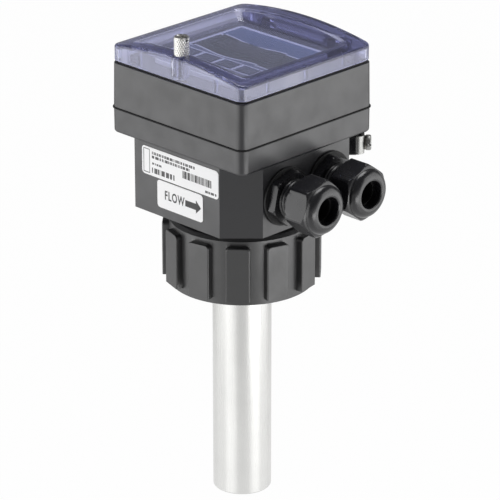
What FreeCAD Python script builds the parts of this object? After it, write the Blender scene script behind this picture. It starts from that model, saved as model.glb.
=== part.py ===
import FreeCAD, Part
import math
import os
import Sketcher
from FreeCAD import Placement, Rotation, Vector
from types import SimpleNamespace

# Insertion electromagnetic flow meter, in millimetres. +Z points up along the probe, the labels face -Y and the
# cable glands point along +X. The origin is on the probe's axis, at the sealing face under its collar.

SIZES = (
    # Square case
    ("case_width", 89.3, "case across the seam"),
    ("case_corner", 4.6, "radius of its upright corners"),
    ("case_wall", 3.0, "wall of cover and base"),
    ("box_bottom", 18.0, "underside of the lower box over the sealing face"),
    ("box_height", 35.0, "lower box, up to the wide part of the base"),
    ("box_setback_front", 0.85, "lower box behind the seam, front and rear"),
    ("box_setback_side", 1.45, "lower box behind the seam, left and right"),
    ("flange_height", 12.2, "wide part of the base"),
    ("flange_draft", 0.1, "draft of the wide part, each side"),
    ("flange_edge", 1.4, "radius under the wide part"),
    ("cover_height", 22.3, "cover"),
    ("cover_draft", 0.4, "draft of the cover, each side"),
    ("cover_edge", 0.6, "radius round the cover's top"),
    ("gasket_height", 0.8, "seam gasket"),
    ("gasket_lip", 0.6, "seam gasket outside the case"),
    ("column_inset", 8.8, "screw columns from the case's sides"),
    ("column_radius", 5.8, "screw columns"),
    ("cover_screw_radius", 2.0, "cover screws' shanks"),
    ("cover_screw_head", 3.6, "radius of their heads"),
    ("cover_screw_sink", 2.6, "depth of the heads' recesses"),
    ("fit_gap", 0.2, "clearance of a screw or a piece in its hole"),
    # Lid
    ("seal_height", 0.9, "lid seal"),
    ("seal_width", 2.0, "lid seal"),
    ("seal_inset", 0.3, "lid seal from the cover's edge"),
    ("lid_gap", 0.3, "closed lid over its seal"),
    ("lid_inset", 0.1, "lid from the cover's edge"),
    ("lid_rise", 11.7, "crown of the lid over its lower edge"),
    ("lid_arch", 225.0, "radius of the arched top"),
    ("lid_skirt", 2.2, "thickness of the lid's sides"),
    ("lid_top", 2.5, "thickness of the lid's arched top"),
    ("lid_edge", 1.4, "radius round the arched top"),
    ("pane_width", 61.0, "flat pane at the bottom of the dish"),
    ("pane_height", 4.4, "top of the pane over the lid's lower edge"),
    ("pane_thickness", 2.2, "pane"),
    ("dish_slope", 1.5, "run of the dish's left and right sides for each millimetre of height"),
    ("dish_slope_front", 0.85, "run of the dish's front and rear for each millimetre of height"),
    ("rib_spacing", 25.5, "ribs in the lid's sides from the middle"),
    ("rib_thickness", 1.0, "ribs in the lid's sides"),
    ("rib_depth", 1.3, "ribs in the lid's sides"),
    # Hinge at the rear of the lid
    ("hinge_radius", 2.7, "knuckle round the hinge axis"),
    ("hinge_lift", 2.9, "hinge axis over the lid's lower edge"),
    ("hinge_bar", 64.0, "length of the lid's knuckle bar"),
    ("lug_spacing", 22.0, "hinge lugs from the middle"),
    ("lug_width", 6.0, "hinge lugs"),
    ("lug_radius", 2.0, "hinge lugs"),
    ("lug_gap", 0.4, "play of a lug in its notch"),
    ("pin_radius", 1.0, "hinge pins"),
    ("pin_length", 12.0, "hinge pins"),
    ("running_gap", 0.06, "clearance of a turning shaft"),
    # Thumb screw
    ("thumb_inset", 4.4, "thumb screw from the lid's front face"),
    ("thumb_radius", 3.65, "thumb screw's head"),
    ("thumb_height", 9.0, "thumb screw's head"),
    ("thumb_shank", 2.0, "radius of its shank"),
    ("thumb_reach", 5.0, "shank below the cover's top"),
    ("thumb_slot", 0.9, "width of the driver slot"),
    ("thumb_slot_depth", 1.8, "depth of the driver slot"),
    ("boss_lift", 1.3, "lid's screw boss over the lid's lower edge"),
    ("retainer_radius", 3.0, "clip on the thumb screw"),
    ("retainer_height", 0.7, "clip on the thumb screw"),
    ("insert_radius", 3.4, "insert for the thumb screw"),
    ("insert_bore", 2.7, "insert for the thumb screw"),
    ("insert_height", 8.0, "insert for the thumb screw"),
    # Display module
    ("module_width", 59.0, "display bezel"),
    ("module_corner", 3.0, "radius of its upright corners"),
    ("module_rise", 2.3, "display bezel over the cover's top"),
    ("module_top", 2.0, "thickness of the bezel's face"),
    ("module_wall", 1.5, "thickness of the bezel's sides"),
    ("module_depth", 9.9, "inside of the bezel, down to its board"),
    ("module_ear", 6.5, "ears of the bezel under the cover"),
    ("ear_height", 2.0, "ears of the bezel"),
    ("ear_screw_spacing", 15.0, "ear screws from the middle"),
    ("ear_screw_radius", 1.25, "ear screws"),
    ("panel_margin", 0.9, "front panel from the bezel's edge"),
    ("panel_thickness", 0.25, "front panel"),
    ("lcd_width", 42.4, "display glass"),
    ("lcd_height", 15.4, "display glass"),
    ("lcd_offset", 5.5, "display glass behind the middle"),
    ("lcd_thickness", 1.6, "display glass"),
    ("lcd_lip", 1.2, "panel and bezel over the edge of the glass"),
    ("key_side_room", 2.5, "outer keys' rims from the bezel's sides"),
    ("key_space", 1.0, "between the rims of two keys"),
    ("key_height", 6.6, "key, along the panel"),
    ("key_post_gap", 1.0, "keys' rims behind the front posts"),
    ("key_gap", 0.4, "key in its hole"),
    ("key_proud", 0.15, "key over the panel"),
    ("key_rim", 1.2, "rim that holds the key under the bezel"),
    ("key_rim_height", 1.0, "rim of the key"),
    ("key_rim_gap", 0.3, "rim under the bezel's face"),
    ("key_stem", 1.5, "radius of the key's stem"),
    ("key_travel_room", 0.9, "key's stem over its switch"),
    ("switch_size", 4.5, "key switch"),
    ("switch_height", 1.2, "key switch"),
    ("board_thickness", 1.6, "circuit boards"),
    ("board_post", 3.0, "bezel's posts for its board"),
    ("board_post_inset", 5.0, "posts from the bezel's sides"),
    ("board_screw_radius", 1.25, "board screws"),
    ("board_screw_head", 2.3, "radius of their heads"),
    ("board_screw_head_height", 1.8, "heads of the board screws"),
    ("board_screw_length", 7.0, "board screws under their heads"),
    # Main board
    ("main_board_gap", 0.7, "main board from the glands' inner ends"),
    ("main_board_depth", 58.0, "main board along Y"),
    ("main_board_lift", 23.0, "main board over the floor of the base"),
    ("main_post_radius", 3.5, "posts for the main board"),
    ("main_post_side", 6.0, "posts from the main board's left and right edges"),
    ("main_post_end", 5.0, "posts from the main board's front and rear edges"),
    ("terminal_width", 46.0, "terminal block"),
    ("terminal_depth", 10.0, "terminal block"),
    ("terminal_height", 11.0, "terminal block"),
    ("terminal_pitch", 5.0, "wire holes of the terminal block"),
    ("terminal_hole", 1.6, "radius of the wire holes"),
    ("terminal_offset", 14.0, "terminal block in front of the middle"),
    ("ribbon_width", 25.0, "ribbon between the boards"),
    ("ribbon_thickness", 0.9, "ribbon between the boards"),
    ("ribbon_inset", 9.0, "ribbon from the main board's rear edge"),
    # Cable glands
    ("gland_spacing", 29.4, "gland to gland"),
    ("gland_thread", 10.0, "radius of the entry thread"),
    ("gland_hole_gap", 0.1, "thread in its hole in the wall"),
    ("gland_bore", 7.6, "radius inside the gland body"),
    ("gland_washer_radius", 14.4, "gland washer"),
    ("gland_washer_height", 1.3, "gland washer"),
    ("gland_land", 0.3, "flat wall beside a gland washer, up to the chamfer"),
    ("gland_flats", 24.0, "gland body across flats"),
    ("gland_hex_height", 4.5, "gland body's hexagon"),
    ("gland_front_thread", 9.6, "radius of the nut's thread"),
    ("gland_front_length", 12.5, "nut's thread"),
    ("gland_thread_gap", 0.3, "nut round its thread"),
    ("gland_show", 6.8, "thread left open behind the nut"),
    ("gland_nut_flats", 25.0, "gland nut across flats"),
    ("gland_nut_length", 16.1, "gland nut"),
    ("gland_nut_hex", 12.0, "hexagon of the gland nut"),
    ("gland_dome", 12.1, "radius of the gland nut's round end"),
    ("gland_dome_edge", 3.6, "rounding of the gland nut's end"),
    ("gland_mouth", 6.7, "radius of the gland nut's mouth"),
    ("gland_end_wall", 5.0, "end wall of the gland nut"),
    ("gland_seal_bore", 6.0, "radius of the cable hole in the seal"),
    ("gland_seal_length", 11.0, "gland seal"),
    ("gland_locknut_flats", 24.5, "lock nut inside the wall"),
    ("gland_locknut_height", 4.0, "lock nut inside the wall"),
    ("gland_turn_front", -15.0, "front gland nut's turn in degrees"),
    ("gland_turn_rear", -7.0, "rear gland nut's turn in degrees"),
    ("gland_hex_turn_front", -13.0, "front gland body's turn in degrees"),
    ("gland_hex_turn_rear", 4.0, "rear gland body's turn in degrees"),
    # Earth terminal
    ("earth_drop", 6.2, "earth terminal under the wide part"),
    ("earth_base_size", 10.0, "pad under the earth clamp"),
    ("earth_base_height", 3.6, "pad under the earth clamp"),
    ("earth_clamp_size", 9.2, "earth clamp"),
    ("earth_clamp_plate", 1.6, "plate of the earth clamp"),
    ("earth_clamp_lip", 2.4, "bent lips of the earth clamp"),
    ("earth_clamp_bend", 3.2, "radius of the earth clamp's bends"),
    ("earth_washer_radius", 3.5, "spring washer"),
    ("earth_washer_height", 0.8, "spring washer"),
    ("earth_screw_radius", 2.0, "earth screw"),
    ("earth_head_radius", 3.8, "earth screw's head"),
    ("earth_head_height", 2.4, "earth screw's head"),
    ("earth_screw_length", 12.5, "earth screw under its head"),
    ("earth_head_gap", 0.1, "head over its washer"),
    # Labels
    ("label_thickness", 0.2, "labels"),
    ("label_corner", 1.8, "radius of the labels' corners"),
    ("rating_width", 51.7, "rating label"),
    ("rating_height", 14.2, "rating label"),
    ("rating_shift", 2.45, "rating label to the right of the middle"),
    ("rating_drop", 1.5, "rating label under the wide part"),
    ("flow_width", 30.9, "flow label"),
    ("flow_height", 13.9, "flow label"),
    ("flow_shift", 2.35, "flow label to the right of the middle"),
    ("label_space", 0.7, "between the labels"),
    # Union nut
    ("nut_height", 34.2, "union nut"),
    ("nut_top_height", 5.7, "top ring of the union nut"),
    ("nut_lift", 0.3, "top ring over the probe's collar"),
    ("nut_radius", 35.6, "union nut between its grip pads"),
    ("nut_bore", 28.9, "radius of the nut's inside"),
    ("nut_rim", 1.5, "chamfer round the nut's top"),
    ("nut_neck_gap", 0.8, "nut round the neck"),
    ("grip_reach", 38.6, "outer faces of the grip pads from the axis"),
    ("grip_width", 11.8, "grip pads"),
    ("grip_drop", 3.7, "grip pads under the nut's top"),
    ("grip_lift", 2.8, "grip pads over the nut's lower edge"),
    ("grip_corner", 2.0, "radius of the grip pads' upper corners"),
    ("grip_edge", 0.7, "radius of the grip pads' edges"),
    ("grip_count", 12, "grip pads"),
    ("grip_turn", 11.8, "first grip pad from +X in degrees"),
    # Neck and probe
    ("neck_radius", 23.5, "neck of the base"),
    ("tube_radius", 14.5, "probe tube"),
    ("tube_wall", 2.0, "probe tube"),
    ("tube_length", 135.4, "probe tube under the sealing face"),
    ("tube_edge", 0.8, "radius of the tube's lower edge"),
    ("tube_top", 9.0, "tube over the floor of the base"),
    ("tube_gap", 0.3, "tube in the neck"),
    ("collar_radius", 27.6, "probe's collar"),
    ("collar_height", 5.0, "probe's collar"),
    ("oring_section", 1.0, "radius of the neck seal's section"),
    ("oring_radius", 19.0, "middle of the neck seal"),
    ("locknut_radius", 20.5, "probe's lock nut"),
    ("locknut_height", 6.0, "probe's lock nut"),
    ("locknut_slot", 4.0, "key slots of the lock nut"),
    ("locknut_slot_depth", 2.2, "key slots of the lock nut"),
    ("tip_recess", 1.0, "electrode holder inside the tube's end"),
    ("holder_height", 17.0, "electrode holder"),
    ("electrode_spacing", 8.0, "electrodes from the middle"),
    ("electrode_radius", 1.5, "electrodes"),
    ("electrode_head", 2.6, "radius of the electrodes' heads"),
    ("electrode_head_height", 0.6, "heads of the electrodes"),
    ("bobbin_height", 30.0, "coil bobbin"),
    ("bobbin_gap", 0.4, "bobbin in the tube"),
    ("bobbin_flange", 1.5, "flanges of the bobbin"),
    ("bobbin_hub", 5.6, "radius of the bobbin's hub"),
    ("core_radius", 4.0, "coil core"),
    ("winding_margin", 0.6, "winding inside the bobbin's flanges"),
    ("lead_radius", 2.5, "sensor lead"),
)

ROOT2 = math.sqrt(2)
ROOT3 = math.sqrt(3)
EPS = 1.0


class Size:
    """A number and the sheet expression that gives it, so that what is worked out from sizes stays tied to them"""

    def __init__(self, number, text=None):
        self.number = float(number)
        self.text = text or f"({self.number!r})"

    @staticmethod
    def of(value):
        return value if isinstance(value, Size) else Size(value)

    def joined(self, number, sign, other):
        return Size(number, f"({self.text} {sign} {other.text})")

    def __add__(self, other):
        other = Size.of(other)
        return self.joined(self.number + other.number, "+", other)

    def __sub__(self, other):
        other = Size.of(other)
        return self.joined(self.number - other.number, "-", other)

    def __mul__(self, other):
        other = Size.of(other)
        return self.joined(self.number * other.number, "*", other)

    def __truediv__(self, other):
        other = Size.of(other)
        return self.joined(self.number / other.number, "/", other)

    def __radd__(self, other):
        return Size.of(other) + self

    def __rsub__(self, other):
        return Size.of(other) - self

    def __rmul__(self, other):
        return Size.of(other) * self

    def __neg__(self):
        return Size(-self.number, f"(0 - {self.text})")

    def root(self):
        return Size(math.sqrt(self.number), f"sqrt({self.text})")

    def lean_in(self, height):
        """Taper angle that moves a side inwards by this size over the height"""
        angle = math.degrees(math.atan(self.number / height.number))
        return Size(-angle, f"(-1 * atan({self.text} / {height.text}))")


def num(value):
    return Size.of(value).number


def bind(thing, path, value):
    thing.setExpression(path, Size.of(value).text)


doc = FreeCAD.newDocument("flow_meter")
sheet = doc.addObject("Spreadsheet::Sheet", "sizes")
d = SimpleNamespace()
for row, (name, number, meaning) in enumerate(SIZES, start=1):
    sheet.set(f"A{row}", meaning)
    sheet.set(f"B{row}", str(number))
    sheet.setAlias(f"B{row}", name)
    setattr(d, name, Size(number, f"sizes.{name}"))
doc.recompute()


# Sketch outlines

def pin_point(sketch, geometry, point, x, y):
    """Ties a point of the sketch to its two coordinates"""
    for kind, value in (("DistanceX", x), ("DistanceY", y)):
        index = sketch.addConstraint(Sketcher.Constraint(kind, -1, 1, geometry, point, num(value)))
        bind(sketch, f"Constraints[{index}]", value)


def set_radius(sketch, geometry, radius):
    index = sketch.addConstraint(Sketcher.Constraint("Radius", geometry, num(radius)))
    bind(sketch, f"Constraints[{index}]", radius)


def circle(radius, x=0, y=0):
    def draw(sketch):
        middle = Vector(num(x), num(y), 0)
        geometry = sketch.addGeometry(Part.Circle(middle, Vector(0, 0, 1), num(radius)))
        pin_point(sketch, geometry, 3, x, y)
        set_radius(sketch, geometry, radius)
    return draw


def outline(*points):
    """Closed outline. A point is (x, y), or (x, y, radius) where a left-hand arc leads from it to the next point,
    or a right-hand arc if the radius is negative"""
    def draw(sketch):
        ends = []
        for here, there in zip(points, points[1:] + points[:1]):
            start = Vector(num(here[0]), num(here[1]), 0)
            stop = Vector(num(there[0]), num(there[1]), 0)
            if len(here) == 2:
                ends.append((sketch.addGeometry(Part.LineSegment(start, stop)), 1, 2))
                continue
            left = num(here[2]) > 0
            radius = here[2] if left else -here[2]
            chord = stop - start
            side = Vector(-chord.y, chord.x, 0) * (1 if left else -1)
            middle = (start + stop) * 0.5
            sagitta_side = math.sqrt(max(num(radius) ** 2 - (chord.Length / 2) ** 2, 0))
            centre = middle + side.normalize() * sagitta_side
            first, last = (start, stop) if left else (stop, start)
            angles = [math.atan2(p.y - centre.y, p.x - centre.x) for p in (first, last)]
            ring = Part.Circle(centre, Vector(0, 0, 1), num(radius))
            geometry = sketch.addGeometry(Part.ArcOfCircle(ring, angles[0], angles[1]))
            ends.append((geometry, 1, 2) if left else (geometry, 2, 1))
            set_radius(sketch, geometry, radius)
        for (geometry, start, stop), point, following in zip(ends, points, ends[1:] + ends[:1]):
            pin_point(sketch, geometry, start, point[0], point[1])
            sketch.addConstraint(Sketcher.Constraint("Coincident", geometry, stop, following[0], following[1]))
    return draw


def rectangle(half_x, half_y, x=0, y=0):
    return outline((x - half_x, y - half_y), (x + half_x, y - half_y), (x + half_x, y + half_y), (x - half_x, y + half_y))


def rounded(half_x, half_y, radius, x=0, y=0):
    left, right, low, high = x - half_x, x + half_x, y - half_y, y + half_y
    return outline((left + radius, low), (right - radius, low, radius), (right, low + radius),
                   (right, high - radius, radius), (right - radius, high), (left + radius, high, radius),
                   (left, high - radius), (left, low + radius, radius))


def octagon(half_x, half_y, chamfer):
    return outline((-half_x + chamfer, -half_y), (half_x - chamfer, -half_y), (half_x, -half_y + chamfer),
                   (half_x, half_y - chamfer), (half_x - chamfer, half_y), (-half_x + chamfer, half_y),
                   (-half_x, half_y - chamfer), (-half_x, -half_y + chamfer))


def hexagon(flats):
    corner = flats / ROOT3
    turns = [math.radians(30 + 60 * k) for k in range(6)]
    return outline(*[(corner * math.cos(turn), corner * math.sin(turn)) for turn in turns])


# Bodies and their features

made = {}


class Piece:
    """One body, with short calls for its sketches and features"""

    def __init__(self, label, several=False, helper=False):
        self.label = label
        self.body = doc.addObject("PartDesign::Body", label)
        self.body.Label = label
        self.body.AllowCompound = several
        self.count = 0
        if not helper:
            made[label] = self.body

    def feature(self, kind):
        self.count += 1
        return self.body.newObject(f"PartDesign::{kind}", f"{self.label}_{kind.lower()}_{self.count}")

    def sketch(self, plane, height, *loops, turn=0):
        self.count += 1
        sketch = self.body.newObject("Sketcher::SketchObject", f"{self.label}_sketch_{self.count}")
        support = next(f for f in self.body.Origin.OriginFeatures if f.Role == plane)
        sketch.AttachmentSupport = [(support, "")]
        sketch.MapMode = "FlatFace"
        sketch.AttachmentOffset = Placement(Vector(), Rotation(Vector(0, 1, 0), turn))
        slant = math.radians(turn)
        bind(sketch, "AttachmentOffset.Base.x", Size.of(height) * math.sin(slant))
        bind(sketch, "AttachmentOffset.Base.z", Size.of(height) * math.cos(slant))
        for loop in loops:
            loop(sketch)
        return sketch

    def pad(self, start, length, *loops, plane="XY_Plane", back=False, taper=None):
        pad = self.feature_of("Pad", start, loops, plane)
        pad.Reversed = back
        bind(pad, "Length", length)
        if taper:
            bind(pad, "TaperAngle", taper)
        return self.done(pad)

    def pocket(self, start, depth, *loops, plane="XY_Plane", back=False, turn=0):
        before = self.body.Shape.Volume
        pocket = self.feature_of("Pocket", start, loops, plane, turn)
        pocket.Reversed = back
        bind(pocket, "Length", depth)
        self.done(pocket)
        if self.body.Shape.Volume > before - 1e-6:
            raise ValueError(f"{pocket.Name} cuts nothing")
        return pocket

    def feature_of(self, kind, start, loops, plane, turn=0):
        sketch = self.sketch(plane, start, *loops, turn=turn)
        feature = self.feature(kind)
        feature.Profile = sketch
        return feature

    def turned(self, *points):
        """Solid of revolution about Z, from (radius, height) points"""
        sketch = self.sketch("XZ_Plane", 0, outline(*points))
        feature = self.feature("Revolution")
        feature.Profile = sketch
        feature.ReferenceAxis = (sketch, ["V_Axis"])
        feature.Angle = 360
        return self.done(feature)

    def loft(self, low, low_loop, high, high_loop):
        first = self.sketch("XY_Plane", low, low_loop)
        second = self.sketch("XY_Plane", high, high_loop)
        feature = self.feature("AdditiveLoft")
        feature.Profile = first
        feature.Sections = [second]
        feature.Ruled = True
        return self.done(feature)

    def fillet(self, radius, chosen):
        base = self.body.Tip
        names = [f"Edge{i}" for i, edge in enumerate(base.Shape.Edges, start=1) if chosen(edge)]
        feature = self.feature("Fillet")
        feature.Base = (base, names)
        bind(feature, "Radius", radius)
        return self.done(feature)

    def chamfer(self, size, chosen):
        base = self.body.Tip
        names = [f"Edge{i}" for i, edge in enumerate(base.Shape.Edges, start=1) if chosen(edge)]
        feature = self.feature("Chamfer")
        feature.Base = (base, names)
        bind(feature, "Size", size)
        return self.done(feature)

    def done(self, feature):
        self.body.Tip = feature
        doc.recompute()
        if not feature.isValid() or "Touched" in feature.State:
            raise ValueError(f"{feature.Name}: {feature.getStatusString()}")
        return feature

    def place(self, x=0, y=0, z=0, rotation=None):
        self.body.Placement = Placement(Vector(), rotation or Rotation())
        for axis, value in (("x", x), ("y", y), ("z", z)):
            bind(self.body, f"Placement.Base.{axis}", value)
        doc.recompute()
        return self.body


def combined(kind, name, base, *tools):
    """Part boolean of a body or boolean with others"""
    if len(tools) > 1:
        group = doc.addObject("Part::MultiFuse", f"{name}_tools")
        group.Shapes = list(tools)
    else:
        group = tools[0]
    result = doc.addObject(f"Part::{kind}", name)
    result.Base = base
    result.Tool = group
    doc.recompute()
    return result


def flat_at(height):
    return lambda edge: edge.BoundBox.ZLength < 1e-4 and abs(edge.BoundBox.ZMin - num(height)) < 1e-4


def upright(edge):
    return edge.BoundBox.XLength < 1e-4 and edge.BoundBox.YLength < 1e-4


# Levels and faces that several pieces share
half = d.case_width / 2
box_x = half - d.box_setback_side
box_y = half - d.box_setback_front
floor_top = d.box_bottom + d.case_wall
box_top = d.box_bottom + d.box_height
seam = box_top + d.flange_height
cover_foot = seam + d.gasket_height
cover_top = cover_foot + d.cover_height
cover_half = half - d.cover_draft
plate_foot = cover_top - d.case_wall
seal_top = cover_top + d.seal_height
lid_foot = seal_top + d.lid_gap
lid_half = cover_half - d.lid_inset
crown = lid_foot + d.lid_rise
column = half - d.column_inset
column_spots = [(column * i, column * j) for i in (-1, 1) for j in (-1, 1)]
chamfer = box_y - d.gland_spacing / 2 - d.gland_washer_radius - d.gland_land
inner_chamfer = chamfer - d.case_wall * (2 - ROOT2)
collar_top = d.collar_height
thumb_y = d.thumb_inset - lid_half
hinge_y = lid_half - d.hinge_radius
hinge_z = lid_foot + d.hinge_lift
gland_z = d.box_bottom + d.box_height / 2
gland_spots = {"front": -d.gland_spacing / 2, "rear": d.gland_spacing / 2}
earth_z = box_top - d.earth_drop
earth_face = (box_x + box_y - chamfer) / ROOT2
main_board_foot = floor_top + d.main_board_lift
main_board_top = main_board_foot + d.board_thickness
thread_end = d.case_wall + d.gland_locknut_height + EPS / 2
main_board_x = box_x - thread_end - d.main_board_gap
main_board_y = d.main_board_depth / 2
main_posts = [((main_board_x - d.main_post_side) * i, (main_board_y - d.main_post_end) * j)
              for i in (-1, 1) for j in (-1, 1)]


def circles(radius, spots):
    return [circle(radius, x, y) for x, y in spots]


# Base of the case: the wide part, the chamfered box and the neck, in one moulding
base = Piece("housing_base")
base.pad(seam, d.flange_height, rounded(half, half, d.case_corner), back=True,
         taper=d.flange_draft.lean_in(d.flange_height))
base.fillet(d.flange_edge, flat_at(box_top))
base.pad(d.box_bottom, d.box_height + d.flange_height / 2, octagon(box_x, box_y, chamfer))
base.pad(collar_top, d.box_bottom - collar_top + EPS, circle(d.neck_radius))
base.pocket(seam, seam - floor_top, octagon(box_x - d.case_wall, box_y - d.case_wall, inner_chamfer))
ledge_half = half - d.flange_draft - d.case_wall
base.pocket(seam, d.flange_height - d.case_wall, rounded(ledge_half, ledge_half, d.case_corner - d.case_wall / 2))
base.pad(seam, d.flange_height - d.case_wall / 2, *circles(d.column_radius, column_spots), back=True)
base.pocket(seam, d.flange_height - d.case_wall, *circles(d.cover_screw_radius, column_spots))
base.pad(d.box_bottom + d.case_wall / 2, main_board_foot - d.box_bottom - d.case_wall / 2,
         *circles(d.main_post_radius, main_posts))
base.pocket(main_board_foot, d.board_screw_length, *circles(d.board_screw_radius, main_posts))
base.pocket(floor_top, floor_top - collar_top, circle(d.tube_radius + d.tube_gap))
base.pocket(collar_top, 2 * d.oring_section, circle(d.oring_radius + d.oring_section),
            circle(d.oring_radius - d.oring_section), back=True)
base.pocket(box_x + EPS, d.case_wall + 2 * EPS,
            *[circle(d.gland_thread + d.gland_hole_gap, y, gland_z) for y in gland_spots.values()], plane="YZ_Plane")
base.pocket(earth_face + EPS, d.case_wall + 2 * EPS, circle(d.earth_screw_radius + d.running_gap, 0, earth_z),
            plane="YZ_Plane", turn=45)

# Gasket in the seam, with a lip that stands out of the case
gasket = Piece("cover_gasket")
gasket_half = half + d.gasket_lip
gasket_hole = half - d.case_wall
gasket.pad(seam, d.gasket_height, rounded(gasket_half, gasket_half, d.case_corner + d.gasket_lip),
           rounded(gasket_hole, gasket_hole, d.case_corner - d.case_wall / 2))

# Cover: upper half of the case, with the opening for the display, screw columns, hinge lugs and the insert's boss
cover = Piece("cover")
cover.pad(cover_foot, d.cover_height, rounded(half, half, d.case_corner), taper=d.cover_draft.lean_in(d.cover_height))
cover.fillet(d.cover_edge, flat_at(cover_top))
cover_hole = cover_half - d.case_wall
cover.pocket(cover_foot, plate_foot - cover_foot,
             rounded(cover_hole, cover_hole, d.case_corner - d.case_wall / 2), back=True)
cover.pad(cover_foot, plate_foot - cover_foot + EPS, *circles(d.column_radius, column_spots))
boss_foot = cover_top - d.insert_height - d.case_wall
cover.pad(boss_foot, plate_foot - boss_foot + EPS,
          rectangle(d.insert_radius + d.case_wall / 2, (cover_half + thumb_y + d.insert_radius) / 2, 0,
                    (thumb_y - cover_half + d.insert_radius) / 2 + d.case_wall / 2))
module_half = d.module_width / 2
opening_half = module_half + d.fit_gap
cover.pocket(cover_top, d.case_wall, rounded(opening_half, opening_half, d.module_corner))
cover.pocket(cover_top, d.cover_height, *circles(d.cover_screw_radius + d.fit_gap, column_spots))
cover.pocket(cover_top, d.cover_screw_sink, *circles(d.cover_screw_head + d.fit_gap, column_spots))
cover.pocket(cover_top, d.insert_height, circle(d.insert_radius, 0, thumb_y))
lug_top = [(hinge_y + d.lug_radius, hinge_z, d.lug_radius), (hinge_y, hinge_z + d.lug_radius, d.lug_radius)]
for side in (-1, 1):
    cover.pad(d.lug_spacing * side - d.lug_width / 2, d.lug_width,
              outline((hinge_y - d.lug_radius, cover_top - EPS), (hinge_y + d.lug_radius, cover_top - EPS), *lug_top,
                      (hinge_y - d.lug_radius, hinge_z)), plane="YZ_Plane")
    cover.pocket(d.lug_spacing * side - d.lug_width, 2 * d.lug_width,
                 circle(d.pin_radius + d.running_gap, hinge_y, hinge_z), plane="YZ_Plane", back=True)
ear_spots = [((module_half + d.module_ear / 2) * i, d.ear_screw_spacing * j) for i in (-1, 1) for j in (-1, 1)]
cover.pocket(plate_foot, d.case_wall - EPS, *circles(d.ear_screw_radius, ear_spots), back=True)

# Four cover screws, sunk under the lid
screws = Piece("cover_screws", several=True)
screw_seat = cover_top - d.cover_screw_sink
screws.pad(screw_seat, d.cover_screw_sink - d.fit_gap, *circles(d.cover_screw_head, column_spots))
screws.pocket(cover_top - d.fit_gap, d.cover_screw_sink / 2,
              *[rectangle(d.cover_screw_head * 0.7, d.thumb_slot / 2, x, y) for x, y in column_spots])
screws.pad(screw_seat, screw_seat - box_top - d.case_wall - EPS, *circles(d.cover_screw_radius, column_spots), back=True)

# Insert for the thumb screw, pressed into the cover
insert = Piece("screw_insert")
insert.pad(cover_top, d.insert_height, circle(d.insert_radius, 0, thumb_y), circle(d.insert_bore, 0, thumb_y), back=True)

# Seal under the lid, with gaps for the hinge lugs
seal = Piece("lid_seal", several=True)
seal_half = cover_half - d.seal_inset - d.cover_edge / 2
seal_hole = seal_half - d.seal_width
seal.pad(cover_top, d.seal_height, rounded(seal_half, seal_half, d.case_corner),
         rounded(seal_hole, seal_hole, d.case_corner - d.seal_width))
notch_half = d.lug_width / 2 + d.lug_gap
seal.pocket(seal_top, d.seal_height, circle(d.insert_bore, 0, thumb_y),
            *[rectangle(notch_half, d.seal_width, d.lug_spacing * side, seal_half - d.seal_width / 2) for side in (-1, 1)])

# Lid: an arched clear shell whose top is dished down to a flat pane
arch_drop = d.lid_arch - (d.lid_arch * d.lid_arch - lid_half * lid_half).root()
lid_shoulder = crown - arch_drop
blank = Piece("lid_blank", helper=True)
blank.pad(lid_half, 2 * lid_half, outline((-lid_half, lid_foot), (lid_half, lid_foot),
          (lid_half, lid_shoulder, d.lid_arch), (-lid_half, lid_shoulder)), plane="XZ_Plane", back=True)
blank.fillet(d.case_corner, upright)
blank.fillet(d.lid_edge, lambda edge: edge.BoundBox.ZMin > num(lid_shoulder) - 0.5 and not upright(edge))

core_half = lid_half - d.lid_skirt
core_arch = d.lid_arch - d.lid_top
core_drop = core_arch - (core_arch * core_arch - core_half * core_half).root()
core_shoulder = crown - d.lid_top - core_drop
core = Piece("lid_core", helper=True)
core.pad(core_half, 2 * core_half, outline((-core_half, lid_foot - EPS), (core_half, lid_foot - EPS),
         (core_half, core_shoulder, core_arch), (-core_half, core_shoulder)), plane="XZ_Plane", back=True)
core.fillet(d.case_corner - d.lid_skirt, upright)

pane_half = d.pane_width / 2
pane_top = lid_foot + d.pane_height
pane_foot = pane_top - d.pane_thickness
dish_top = crown + EPS
dish_x = pane_half + d.dish_slope * (dish_top - pane_top)
dish_y = pane_half + d.dish_slope_front * (dish_top - pane_top)
dish = Piece("lid_dish", helper=True)
dish.loft(pane_top, rounded(pane_half, pane_half, d.module_corner), dish_top,
          rounded(dish_x, dish_y, d.module_corner + d.lid_edge))
lining_half = pane_half + d.pane_thickness / 2
lining_x = lining_half + d.dish_slope * (dish_top - pane_foot)
lining_y = lining_half + d.dish_slope_front * (dish_top - pane_foot)
lining = Piece("lid_lining", helper=True)
lining.loft(pane_foot, rounded(lining_half, lining_half, d.module_corner), dish_top,
            rounded(lining_x, lining_y, d.module_corner + d.lid_edge))

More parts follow.
